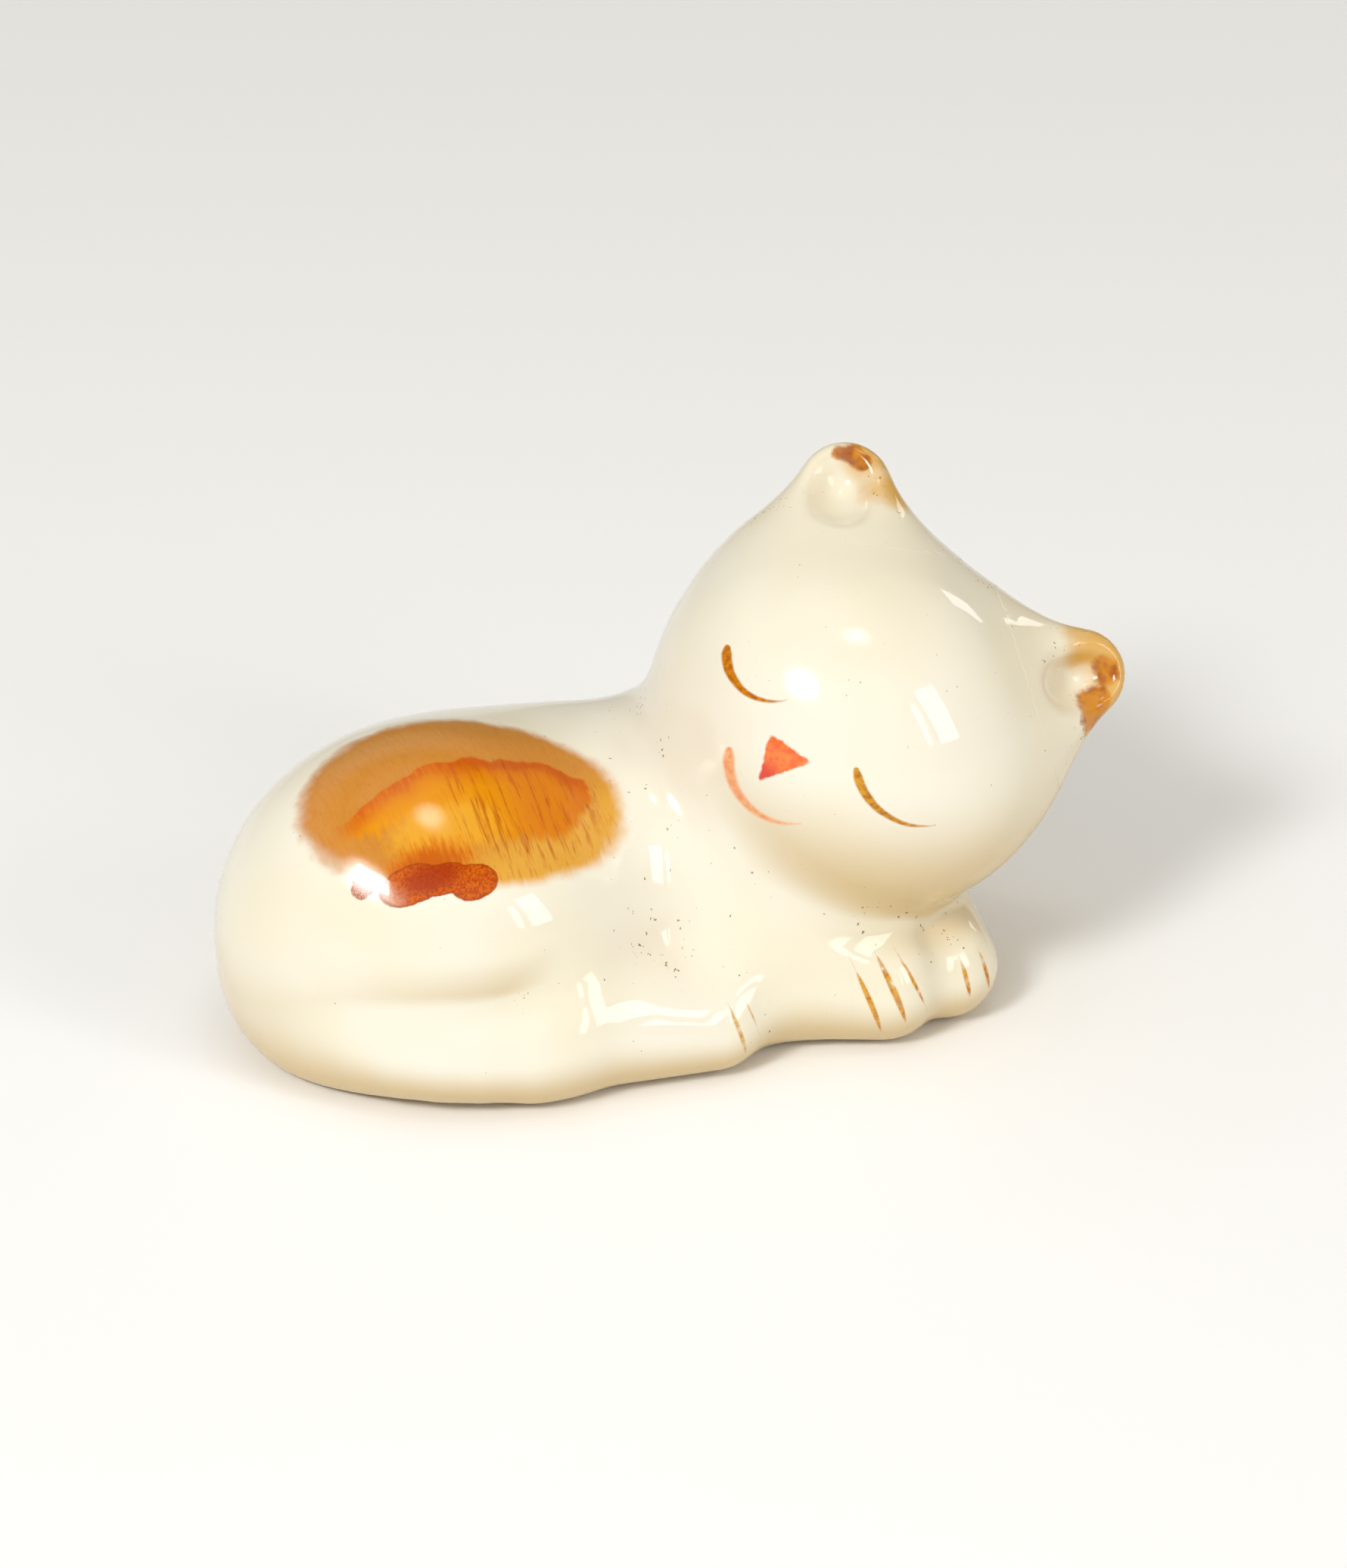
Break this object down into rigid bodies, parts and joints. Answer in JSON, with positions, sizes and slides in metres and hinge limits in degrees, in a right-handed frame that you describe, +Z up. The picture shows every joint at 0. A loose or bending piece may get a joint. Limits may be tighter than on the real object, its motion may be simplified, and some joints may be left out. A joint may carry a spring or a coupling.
{
  "type": "ceramic cat figurine",
  "caption": "Small glazed bone china kitten, asleep and curled up with its head tilted on its forepaws, flat underneath to stand on a shelf.",
  "frame": {"origin": "on the resting surface, under the middle of the figurine's overall box", "axes": "+X from the rump to the head end, +Y to the kitten's left side, +Z up"},
  "size_m": [0.0501, 0.025, 0.0297],
  "materials": {
    "cream_glaze": "cream bone china under a clear, smooth, glossy glaze",
    "patch_enamel": "amber to sienna painted wash under the glaze, brushed, with a darker blot",
    "line_enamel": "thin golden brown painted lines under the glaze",
    "nose_enamel": "coral painted enamel, glossy",
    "mouth_enamel": "pale coral painted wash, glossy"
  },
  "bodies": {
    "root": {"body_casting": "cream_glaze", "head_casting": "cream_glaze", "right_ear": "cream_glaze", "left_ear": "cream_glaze", "tail": "cream_glaze", "right_forepaw": "cream_glaze", "left_forepaw": "cream_glaze", "right_hind_paw": "cream_glaze", "back_patch": "patch_enamel", "right_eye_line": "line_enamel", "left_eye_line": "line_enamel", "nose": "nose_enamel", "mouth": "mouth_enamel", "right_ear_tint": "patch_enamel", "left_ear_tint": "patch_enamel", "right_forepaw_claws": "line_enamel", "left_forepaw_claws": "line_enamel", "right_hind_claws": "line_enamel"}
  },
  "joints": []
}
